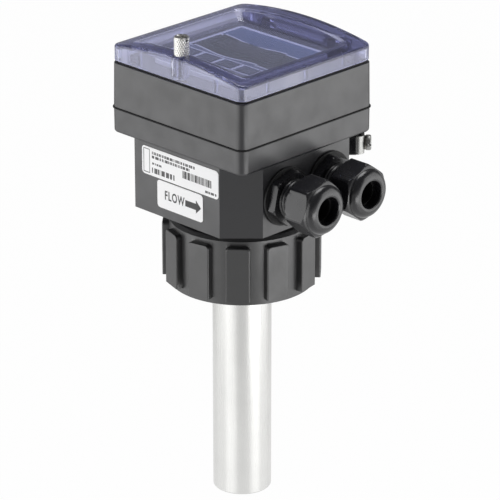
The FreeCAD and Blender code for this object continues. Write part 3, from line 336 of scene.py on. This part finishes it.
case_black = moulded("case_plastic", tint(27, 27, 30), 0.36, grain_mm=0.5, grain_depth=0.014, sheen=0.78)
softened("case_base", "housing_base", 0.35, "housing", case_black)
paint(metal("lock_nut_steel", tint(176, 176, 174), 0.32, (0.3, 0.3, 5.0)), "probe_locknut")
seal_rubber = moulded("seal_rubber", tint(20, 20, 21), 0.62, grain_mm=0.8, grain_depth=0.01, sheen=0.3)
paint(seal_rubber, "probe_oring")

# Union nut: the same black plastic, with raised grip pads, free to turn on the probe's collar.
# It screws onto the pipe fitting; the pads are moulded with soft edges and flat faces.
nut_black = moulded("nut_plastic", tint(28, 28, 29), 0.38, grain_mm=0.7, grain_depth=0.016, sheen=0.95)
softened("grip_nut", "union_nut", 0.4, "union_nut", nut_black, angle=35)

# Cable glands: black nylon bodies in the right wall, each with a washer outside and a lock nut inside.
# The domed nut screws onto the body's thread and squeezes a rubber seal round the cable.
gland_low, gland_high = box_mm("gland_body_front")
gland_z = (gland_low.z + gland_high.z) / 2
wall_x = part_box("gland_washer_front")[0].x / MM
gland_steps = 240
gland_angle = np.arange(gland_steps) * TURN / gland_steps


def hexagon(flats, corner):
    """Distance from the axis to a hexagon: half its width over the cosine of the angle to the nearest side's
    middle, and no more than the rounded corner's distance"""
    side = np.mod(gland_angle + math.pi / 6, math.pi / 3) - math.pi / 6
    return np.minimum(flats / 2 / np.cos(side), corner)


def gland_nut_points(y, foot, length, turned):
    """Domed nut: the smaller, at each angle, of a hexagon and a turned outline. The outline has a shoulder,
    a fine groove, and a lip that is a quarter of an ellipse rolled in to the mouth."""
    flats, corner, thread, mouth = 25.0, 14.15, 9.9, 6.7
    skirt, shoulder, shoulder_foot = 14.6, 3.2, 9.4
    groove, groove_top = 12.0, 12.45
    lip_middle, lip_width, lip_height, throat = 7.75, 4.25, 3.6, 5.0
    outside = np.concatenate([
        [(thread, 0), (13.1, 0), (skirt, 0.9), (skirt, 4.0), (skirt, 7.0), (skirt, shoulder_foot)],
        arc((skirt - shoulder, shoulder_foot), shoulder, 4, 74, count=14),
        [(groove + 0.02, groove_top + 0.17), (groove - 0.04, groove_top + 0.27)],
        arc((0, 0), 1, -6, 90, count=26) * (lip_width, lip_height) + (lip_middle, length - lip_height),
        [(7.4, length - 0.06), (7.0, length - 0.3), (6.77, length - 0.8), (mouth, length - 1.5)],
        [(mouth, length - 3.2), (mouth, length - throat), (thread, length - throat)],
    ])
    radius, along = outside[:, :1], outside[:, 1:]
    flat = (along < groove_top) & (radius > groove)
    radius = np.minimum(radius, np.where(flat, hexagon(flats, corner), np.inf))
    return round_points(radius, along + foot, (0, y, gland_z), "X", gland_steps, math.radians(turned))


def gland_body_points(y, inner, outer, turned):
    """Gland body: hexagon with coned edges between two threads. The outer thread's ridge climbs one pitch
    each turn: its radius changes by ridge * (1.5 * wave - 0.5), where the wave is the root of half of one
    plus the cosine of (the distance over the pitch, in turns, less the angle)"""
    flats, corner, bore, inner_thread, outer_thread = 24.0, 13.6, 7.6, 10.0, 9.6
    foot, top, hex_reach, cone_reach = wall_x + 1.3, wall_x + 5.8, 14.0, 12.2
    pitch, ridge, rows, runout = 2.0, 0.27, 110, 0.2
    thread = np.linspace(top + 0.15, outer, rows)
    outline = np.concatenate([
        [(bore, inner), (inner_thread, inner), (inner_thread, wall_x - 3.2), (inner_thread, foot)],
        [(13.5, foot), (hex_reach, foot + 0.3), (hex_reach, foot + 2.0), (hex_reach, top - 0.6)],
        [(12.9, top), (outer_thread + 0.1, top)],
        np.stack([np.full(rows, outer_thread), thread], axis=1),
        [(bore, outer)],
    ])
    radius, along = outline[:, :1], outline[:, 1:]
    threaded = (along > top + runout) & (along < outer - runout) & (radius > bore + 0.4)
    wave = np.sqrt(0.5 + 0.5 * np.cos(TURN * (along / pitch) - gland_angle))
    radius = np.minimum(radius, np.where(radius > cone_reach, hexagon(flats, corner), np.inf))
    radius = radius + np.where(threaded, ridge * (1.5 * wave - 0.5), 0.0)
    return round_points(radius, along, (0, y, gland_z), "X", gland_steps, math.radians(turned))


gland_black = moulded("gland_nylon", tint(22, 22, 25), 0.25, grain_mm=0.9, grain_depth=0.003, sheen=0.62)
washer_rubber = moulded("washer_rubber", tint(14, 14, 15), 0.6, grain_depth=0.01, sheen=0.4)
for side, turned, nut_turned in (("front", -13.0, -15.0), ("rear", 4.0, -7.0)):
    low, high = box_mm(f"gland_body_{side}")
    y = (low.y + high.y) / 2
    body = sheet_mesh(f"gland_{side}", gland_body_points(y, low.x, high.x, turned), close_rows=True)
    piece(f"gland_{side}", body, "housing", gland_black, [f"gland_body_{side}"], crease=24)
    nut = f"gland_nut_{side}"
    low, high = box_mm(nut)
    cap_points = gland_nut_points(y, low.x, high.x - low.x, nut_turned)
    cap = sheet_mesh(f"gland_cap_{side}", cap_points, close_rows=True)
    piece(f"gland_cap_{side}", cap, nut, gland_black, [nut], crease=24)
    softened(f"gland_ring_{side}", f"gland_washer_{side}", 0.3, "housing", washer_rubber)
    paint(washer_rubber, f"gland_seal_{side}")
    paint(gland_black, f"gland_locknut_{side}")

# Earth terminal: a nickel-plated clamp plate on a black pad, on the chamfer at the rear right.
# A slotted screw with a spring washer pulls the clamp down on the earth wire.
nickel = metal("nickel_plate", tint(164, 164, 162), 0.42, line_mm=2.0)
softened("earth_pad", "earth_base", 0.4, "housing", gland_black)
softened("earth_plate", "earth_clamp", 0.25, "housing", nickel)
softened("earth_bolt", "earth_screw", 0.2, "earth_screw", nickel)
paint(metal("spring_steel", tint(132, 130, 124), 0.3), "earth_washer")

# Main board inside the base: green laminate on four posts, with the terminal block and the ribbon.
# Everything here is behind the wall, screwed down with small pan-head screws.
laminate = moulded("board_laminate", tint(30, 96, 56), 0.35, grain_mm=2.0, grain_depth=0.004)
paint(laminate, "main_board", "display_board")
paint(moulded("terminal_plastic", tint(58, 132, 76), 0.42), "terminal_block")
paint(moulded("ribbon_jacket", tint(168, 168, 166), 0.5), "ribbon_link")
small_steel = metal("small_screw_steel", tint(190, 190, 188), 0.28)
paint(small_steel, "main_board_screws", "display_board_screws", "bezel_screws")
paint(small_steel, "screw_retainer", "hinge_pins")

# Cover: upper half of the head in the same black plastic, pulled down on the seam gasket by four long screws.
# A brass insert for the thumb screw is pressed into its front edge, and two lugs at the rear carry the lid.
softened("case_cover", "cover", 0.3, "housing", case_black)
gasket_rubber = moulded("gasket_rubber", tint(14, 14, 15), 0.6, grain_mm=0.8, grain_depth=0.01, sheen=0.3)
softened("seam_gasket", "cover_gasket", 0.3, "housing", gasket_rubber)
paint(metal("black_screw_steel", tint(52, 52, 54), 0.4), "cover_screws")
paint(metal("insert_brass", tint(196, 160, 86), 0.25, (0.3, 0.3, 5.0)), "screw_insert")

# Display module: a pale bezel under the cover's opening, with a printed film, a display glass and four keys.
# The film is printed from behind: a blue ground, a dark band round the display, and fine white lines.
bezel_pale = moulded("bezel_plastic", tint(236, 236, 240), 0.5)
softened("display_frame", "display_bezel", 0.4, "housing", bezel_pale)


def inside(finish, value, low, high, soft=0.12):
    """1 where the value is between low and high, with soft edges"""
    return finish.ramp(value, low - soft, low + soft) * finish.ramp(value, high - soft, high + soft, 1.0, 0.0)


# the band's edges dip in a cosine between the wave's two ends; white lines follow them, and frame each key
band_low, band_high, line_width, overlap = -6.6, 13.6, 1.0, 0.1
wave_start, wave_end, wave_crest, wave_depth, wave_number = -25.0, 17.0, -4.0, 1.3, 0.15
print_half = 26.6
key_wide, key_tall, key_line = 6.4, 5.0, 0.7
hole_wide, hole_tall = key_wide - key_line, key_tall - key_line
panel = Finish("panel_print", {"Roughness": 0.28, "Coat Weight": 0.3})
across, up = panel.axis("X"), panel.axis("Y")
dip = panel.math("COSINE", (across - wave_crest) * wave_number)
dip = dip * inside(panel, across, wave_start, wave_end, 0.01)
up_wave = up + (dip + 1) * wave_depth
lcd_band = inside(panel, up_wave, band_low, band_high)
low_line = band_low + overlap
high_line = band_high - overlap
lines = inside(panel, up_wave, low_line - line_width, low_line)
lines = lines + inside(panel, up_wave, high_line, high_line + line_width)
rim = 1 - inside(panel, across, -print_half, print_half) * inside(panel, up, -print_half, print_half)
for number in range(1, 5):
    low, high = box_mm(f"key_{number}")
    key_x, key_y = (low.x + high.x) / 2, (low.y + high.y) / 2
    outer = inside(panel, across, key_x - key_wide, key_x + key_wide)
    outer = outer * inside(panel, up, key_y - key_tall, key_y + key_tall)
    inner = inside(panel, across, key_x - hole_wide, key_x + hole_wide)
    inner = inner * inside(panel, up, key_y - hole_tall, key_y + hole_tall)
    lines = lines + outer - inner
keys_ground = 1 - panel.ramp(up_wave, band_low - 1.0, band_low - 0.6)
ground = panel.blend(tint(72, 96, 138), tint(88, 96, 124), keys_ground)
ground = panel.blend(ground, tint(26, 33, 38), lcd_band)
ground = panel.blend(ground, tint(236, 238, 246), panel.ramp(lines + rim, 0.4, 0.6))
panel.set({"Base Color": ground})
panel.relief(panel.noise(0.6), depth_mm=0.004, strength=0.3)
paint(panel.material, "front_panel")

glass = Finish("display_glass", {"Roughness": 0.12, "Coat Weight": 0.5})
glass.set({"Base Color": glass.blend(tint(52, 56, 62), tint(60, 64, 70), glass.noise(9.0))})
paint(glass.material, "lcd_glass")
paint(moulded("switch_plastic", tint(30, 30, 32), 0.4), "key_switches")
key_grey = moulded("key_rubber", tint(60, 65, 78), 0.5, grain_mm=0.6, grain_depth=0.01)
for number in range(1, 5):
    softened(f"push_key_{number}", f"key_{number}", 0.2, f"key_{number}", key_grey)

# Lid: clear violet-tinted polycarbonate, arched from side to side, with its top dished down to a flat pane.
# Moulded in one shot with thin ribs in its sides; two steel pins at the rear turn in the cover's lugs.
softened("lid_gasket", "lid_seal", 0.25, "housing", gasket_rubber)
lid_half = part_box("lid")[1].x / MM
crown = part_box("lid")[1].z / MM
lid_arch = 225.0
skirt_wall = 2.3
rim_reach, rim_soft, rear_rim_inset = 36.3, 1.0, 1.8
skirt_start, rear_rim, rear_span, left_span = (1.2, 2.0), (30, 34), (31.0, 35.0), (32.0, 36.8)
tinted = Finish("tinted_polycarbonate", {"IOR": 1.5, "Transmission Weight": 0.92})
tinted.set({"Roughness": tinted.ramp(tinted.noise(30.0, detail=2.0), 0.3, 0.7, 0.05, 0.09)})

# painted shade: the thick border round the dish and the dish's rear wall are painted a deeper violet for
# their darkness; painted light: a pale diffuse layer lightens the skirt and the dish's left and rear walls
across, up = tinted.axis("X"), tinted.axis("Y")
wall_reach = tinted.math("MAXIMUM", abs(across), abs(up))
under_arch = crown - across * across / (2 * lid_arch) - tinted.axis("Z")
in_skirt = tinted.ramp(wall_reach, lid_half - skirt_wall, lid_half - skirt_wall + 0.1)
skirt = tinted.ramp(under_arch, *skirt_start) * in_skirt
rim_place = wall_reach + tinted.ramp(up, *rear_rim, 0.0, rear_rim_inset)
border = tinted.ramp(rim_place, rim_reach, rim_reach + rim_soft) * (1 - skirt)
rear_wall = inside(tinted, up, *rear_span, soft=1.0)
left_wall = inside(tinted, across * -1, *left_span, soft=1.2)
painted_deep_shade = tinted.math("MAXIMUM", border, rear_wall)
# painted shade: the border and the rear wall take the deeper violet
tinted.set({"Base Color": tinted.blend(tint(216, 219, 240), tint(152, 154, 190), painted_deep_shade)})
shadow_ray = tinted.ray("Is Shadow Ray")
clear_shadow = tinted.node("BsdfTransparent", {}, {"Color": tint(232, 232, 244)})
tinted.lay(clear_shadow, shadow_ray * 0.9)
# painted light: a pale diffuse layer lightens the skirt and the dish's left and rear walls
painted_wall_light = tinted.math("MAXIMUM", left_wall * 0.3, rear_wall * 0.08) * (1 - border)
painted_milk_light = tinted.node("BsdfDiffuse", {}, {"Color": tint(206, 207, 232)})
tinted.lay(painted_milk_light, (skirt * 0.13 + painted_wall_light) * (1 - shadow_ray))
softened("clear_lid", "lid", 0.5, "lid", tinted.material, angle=35, segments=3)

# Thumb screw: nickel-plated brass with a diamond knurl and a driver slot, kept in the lid by a clip.
# Turned on a lathe, knurled with a pair of wheels, then slotted.
screw_low, screw_high = box_mm("lid_screw")
screw_y = (screw_low.y + screw_high.y) / 2
screw_radius = 3.65
rim_step = 0.12
rim_radius = screw_radius - rim_step
shank_radius, shank_tip = 2.0, 0.6
head_height = 9.0
head_foot = screw_high.z - head_height
slot_half, slot_depth = 0.45, 1.8
slot_floor = screw_high.z - slot_depth
knurl_teeth, knurl_depth, knurl_climb = 22, 0.32, 1.05
knurl_twist = math.pi / knurl_climb / 2
plain_foot, plain_top, plain_fade = 0.3, 0.5, 0.2
slot_reach = 0.9925
screw_steps = 240


def knurl_wall(rows=90):
    """Knurled wall: the radius rises with the larger of two waves, |sin(teeth / 2 * angle +- twist)|, which
    cross because the twist grows with the height. The waves fade at both ends, and the wall stops at the
    slot's floor where the slot passes."""
    angle = np.arange(screw_steps) * TURN / screw_steps
    share = np.linspace(0, 1, rows).reshape(-1, 1)
    slotted = np.abs(np.sin(angle)) * screw_radius < slot_half
    height = share * np.where(slotted, head_height - slot_depth, head_height)
    turn = knurl_teeth / 2 * angle
    twist = height * knurl_twist
    cut = np.maximum(np.abs(np.sin(turn + twist)), np.abs(np.sin(turn - twist)))
    fade = np.minimum(height - plain_foot, head_height - plain_top - height) / plain_fade
    fade = np.clip(fade, 0, 1)
    radius = screw_radius - rim_step * (1 - fade) - knurl_depth * (1 - cut) * fade
    points = np.stack([radius * np.cos(angle), radius * np.sin(angle) + screw_y, head_foot + height], axis=-1)
    return points * MM


def flat_strip(near, far, level_near, level_far, count=40):
    """Strip across the head's top, along the slot: at each place along it, a straight line from the near
    edge to the far one, and no further out than the round rim"""
    along = np.linspace(-1, 1, count) * rim_radius * slot_reach
    reach = np.sqrt(rim_radius ** 2 - along ** 2)
    share = np.linspace(0, 1, 2).reshape(-1, 1)
    start = np.minimum(near, reach)
    across = start + share * (np.minimum(far, reach) - start)
    level = level_near + share * (level_far - level_near) + 0 * along
    return np.stack([along + 0 * across, across, level], axis=-1)


plating = Finish("screw_plate", {"Metallic": 1.0})
turn_of = plating.math("ARCTAN2", plating.axis("Y") - screw_y, plating.axis("X")) * (knurl_teeth / 2)
twist_of = (plating.axis("Z") - head_foot) * knurl_twist
crossing = [abs(plating.math("SINE", wave)) for wave in (turn_of + twist_of, turn_of - twist_of)]
# painted highlight and painted shade: the knurl's crests are painted lighter and its grooves darker
crest = plating.ramp(plating.math("MAXIMUM", *crossing), 0.66, 0.9)
plating.set({"Base Color": plating.blend(tint(136, 134, 130), tint(224, 223, 220), crest)})
plating.set({"Roughness": plating.ramp(plating.noise(1.2), 0.3, 0.7, 0.2, 0.32)})
land = flat_strip(slot_half, rim_radius, screw_high.z, screw_high.z)
slot_base = flat_strip(-slot_half, slot_half, slot_floor, slot_floor)
slot_side = flat_strip(slot_half, slot_half, slot_floor, screw_high.z)
mirrored = [np.flip(strip, 0) * (1, -1, 1) for strip in (land, slot_side)]
strips = [(strip + (0, screw_y, 0)) * MM for strip in (land, slot_base, slot_side, *mirrored)]
shank_profile = np.array([
    (0, screw_low.z),
    (shank_radius - shank_tip, screw_low.z),
    (shank_radius, screw_low.z + shank_tip),
    (shank_radius, head_foot),
    (rim_radius, head_foot),
])
shank_points = round_points(shank_profile[:, 0], shank_profile[:, 1], (0, screw_y, 0), steps=screw_steps)
screw_parts = [sheet_mesh("strip", strip, close_columns=False) for strip in strips]
screw_parts.append(sheet_mesh("shank", shank_points))
screw = sheet_mesh("knurled_screw", knurl_wall())
merge(screw, screw_parts, distance=2e-6)
piece("knurled_screw", screw, "lid_screw", plating.material, ["lid_screw"], crease=40)

# Labels: white printed film on the front of the box, one for ratings and one for the direction of flow.
# The print is plain black; the rating label carries only ruled fields and bars, with nothing to read.
label_ink = tint(34, 34, 36)


def label_film(name):
    """White film with a thin clear coat, and its slightly cloudy paper colour"""
    finish = Finish(name, {"Roughness": 0.35, "Coat Weight": 0.2})
    return finish, finish.blend(tint(250, 250, 250), tint(246, 246, 248), finish.noise(6.0))


film, paper = label_film("rating_film")
right, high = film.axis("X"), film.axis("Z")


def greeked(low, top, start, end, pitch):
    """Row of short dark bars with uneven gaps, like print too small to read"""
    place = right * (1 / pitch) + low * 7.3
    cells = film.node("TexNoise", {"noise_dimensions": "1D"}, {"W": place, "Scale": 1.0, "Detail": 1.0})
    row = inside(film, high, low, top, 0.06) * inside(film, right, start, end, 0.06)
    return row * film.ramp(cells, 0.42, 0.46)


field_left, field_right, field_low, field_top, field_line = -22.4, -18.0, 38.3, 50.5, 0.4
field = inside(film, right, field_left, field_right) * inside(film, high, field_low, field_top)
field_inner = inside(film, right, field_left + field_line, field_right - field_line)
field_inner = field_inner * inside(film, high, field_low + field_line, field_top - field_line)
print_mask = field - field_inner
for low, top, start, end, pitch in (
    (48.3, 49.7, -16.6, 12.5, 0.75),
    (46.3, 47.7, -16.6, 9.0, 0.75),
    (43.2, 44.2, -16.6, -10.0, 0.6),
    (38.9, 41.6, -16.6, -1.2, 1.0),
    (41.8, 45.6, 4.2, 23.6, 0.55),
    (38.6, 39.8, 19.4, 27.0, 0.7),
):
    print_mask = print_mask + greeked(low, top, start, end, pitch)
film.set({"Base Color": film.blend(paper, label_ink, print_mask)})
paint(film.material, "rating_label")

plain_film, plain_paper = label_film("flow_film")
plain_film.set({"Base Color": plain_paper})
paint(plain_film.material, "flow_label")
ink = moulded("label_ink", label_ink, 0.4, grain_mm=0.3, grain_depth=0.002)
flow_low, flow_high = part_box("flow_label")
ink_y = flow_low.y - 0.03 * MM
flow_middle = (flow_low.z + flow_high.z) / 2
word_left = flow_low.x + 5.0 * MM
word_width = 0.69

words = bpy.data.curves.new("flow_word", "FONT")
words.body = "FLOW"
words.size = 6.3 * MM
words.align_x = "LEFT"
words.align_y = "CENTER"
words.offset = 0.13 * MM
words.space_character = 1.19
words.extrude = 0.02 * MM
holder = bpy.data.objects.new("flow_word", words)
bpy.context.scene.collection.objects.link(holder)
bpy.context.view_layer.update()
letters = bpy.data.meshes.new_from_object(holder)
bpy.data.objects.remove(holder)
upright = Matrix.Rotation(math.pi / 2, 4, "X") @ Matrix.Diagonal((word_width, 1, 1, 1))
letters.transform(Matrix.Translation((word_left, ink_y, flow_middle)) @ upright)
piece("flow_word", letters, "housing", ink, [])

# arrow outline, as the shaft's and the head's half heights along its length, mirrored about its middle
arrow_x = np.array([0.0, 7.2, 7.2, 10.6]) * MM + flow_high.x - 11.8 * MM
arrow_half = np.array([1.6, 1.6, 3.4, 0.0]) * MM
arrow_y = np.full(len(arrow_x), ink_y)
arrow_edges = [np.stack([arrow_x, arrow_y, flow_middle + sign * arrow_half], -1) for sign in (-1, 1)]
arrow = sheet_mesh("flow_arrow", np.stack(arrow_edges), close_columns=False)
piece("flow_arrow", arrow, "housing", ink, [])

# Studio: a pale floor well under the probe's tip, white all round, with soft boxes in a ring and above.
# The floor and the surroundings look white to the camera and in reflections, and still take a faint shadow.
floor_drop, floor_reach = 500, 4000
glow_edge, far_glow = (1.5, 1.7), 0.56
floor_level = tube_low.z - floor_drop
pale = Finish("pale_floor", {"Base Color": (0.86, 0.86, 0.86, 1), "Roughness": 0.9})
seen = pale.ray("Is Camera Ray")
for kind in ("Is Glossy Ray", "Is Transmission Ray"):
    seen = pale.math("MAXIMUM", seen, pale.ray(kind))
# in reflections the far floor is dimmer than the near floor, with distances in metres
floor_distance = pale.node("VectorMath", {"operation": "LENGTH"}, {0: pale.place()}, "Value")
far_loss = 1 - pale.ramp(floor_distance, *glow_edge, 1.0, far_glow)
shine = 1 - pale.ray("Is Glossy Ray") * far_loss
white = pale.node("Emission", {}, {"Color": (1, 1, 1, 1), "Strength": shine})
pale.lay(white, seen * 0.985)
floor_points = np.array([[(x, y, floor_level) for x in (-floor_reach, floor_reach)]
                         for y in (-floor_reach, floor_reach)]) * MM
floor_sheet = bpy.data.objects.new("floor", sheet_mesh("floor", floor_points, close_columns=False))
floor_sheet.data.materials.append(pale.material)
bpy.context.scene.collection.objects.link(floor_sheet)

# the surroundings are pale up to the horizon and dim overhead, but all white to the camera
world = bpy.data.worlds.new("studio")
bpy.context.scene.world = world
world.use_nodes = True
sky = Nodes(world.node_tree)
backdrop = sky.tree.nodes["Background"]
backdrop.inputs["Color"].default_value = (1, 1, 1, 1)
heading = sky.node("SeparateXYZ", {}, {0: sky.node("TexCoord", {}, {}, "Generated")}, "Z")
dome = sky.ramp(heading, -0.02, 0.1, 0.62, 0.14)
through_glass = sky.ray("Is Transmission Ray") * sky.ramp(heading, 0.0, 0.15, 1.0, 0.14)
plain_view = sky.math("MAXIMUM", sky.ray("Is Camera Ray"), through_glass)
sky.feed(backdrop.inputs["Strength"], sky.math("MAXIMUM", plain_view, dome))

view_turn, view_lift = math.radians(44.75), math.radians(22.61)
sideways = Vector((math.cos(view_turn), math.sin(view_turn), 0))
towards = Vector((math.sin(view_turn), -math.cos(view_turn), 0))


def soft_box(name, spot, target, width, height, radiance):
    """Flat lamp that looks radiance bright: its power is pi times its area times that"""
    lamp = bpy.data.lights.new(name, "AREA")
    lamp.shape = "RECTANGLE"
    lamp.size = width
    lamp.size_y = height
    lamp.energy = math.pi * width * height * radiance
    box = bpy.data.objects.new(name, lamp)
    box.location = spot
    box.visible_camera = False
    box.rotation_euler = (target - spot).to_track_quat("-Z", "Y").to_euler()
    bpy.context.scene.collection.objects.link(box)


# boxes in a ring: degrees from the camera's line, width, foot and crest, radiance;
# under the split they are dim, because the bright tube mirrors that part of them
ring_radius, foot, split, crest = 0.62, -0.625, -0.25, 0.375
for name, degrees, box_width, low, high, radiance in (
    ("left_upper", -74, 1.1, split, crest, 1.7),
    ("left_lower", -74, 1.1, foot, split, 0.1),
    ("left_band", -44, 0.5, foot, split, 0.4),
    ("bright_upper", 43, 0.42, split, -0.1, 4.4),
    ("bright_lower", 54, 0.4, foot, split, 0.46),
    ("right_upper", 75, 0.29, split, crest, 2.2),
    ("right_lower", 75, 0.29, foot, split, 0.1),
    ("far_upper", 101, 0.3, split, crest, 1.7),
    ("far_lower", 101, 0.3, foot, split, 0.12),
):
    swing = math.radians(degrees)
    middle = Vector((0, 0, (low + high) / 2))
    spot = (towards * math.cos(swing) + sideways * math.sin(swing)) * ring_radius + middle
    soft_box(name, spot, middle, box_width, high - low, radiance)
top_spot = Vector((0, 0, 1.3)) - towards * 0.3
top_target = Vector((0, 0, 0.03))
soft_box("top_box", top_spot, top_target, width=0.9, height=0.9, radiance=4.5)

# camera far off with a long lens, which is its focal length in pixels over the image's width
image_width, focal_pixels = 500, 3280
camera_distance = 1.6
aim = Vector((2.775, 2.755, -9.22)) * MM
back = towards * math.cos(view_lift) + Vector((0, 0, math.sin(view_lift)))
camera = bpy.data.cameras.new("camera")
camera.sensor_width = 36
camera.lens = focal_pixels / image_width * camera.sensor_width
camera.clip_end = 20
eye = bpy.data.objects.new("camera", camera)
eye.location = aim + back * camera_distance
eye.rotation_euler = (-back).to_track_quat("-Z", "Y").to_euler()
bpy.context.scene.collection.objects.link(eye)
bpy.context.scene.camera = eye
bpy.context.scene.view_settings.view_transform = "Standard"
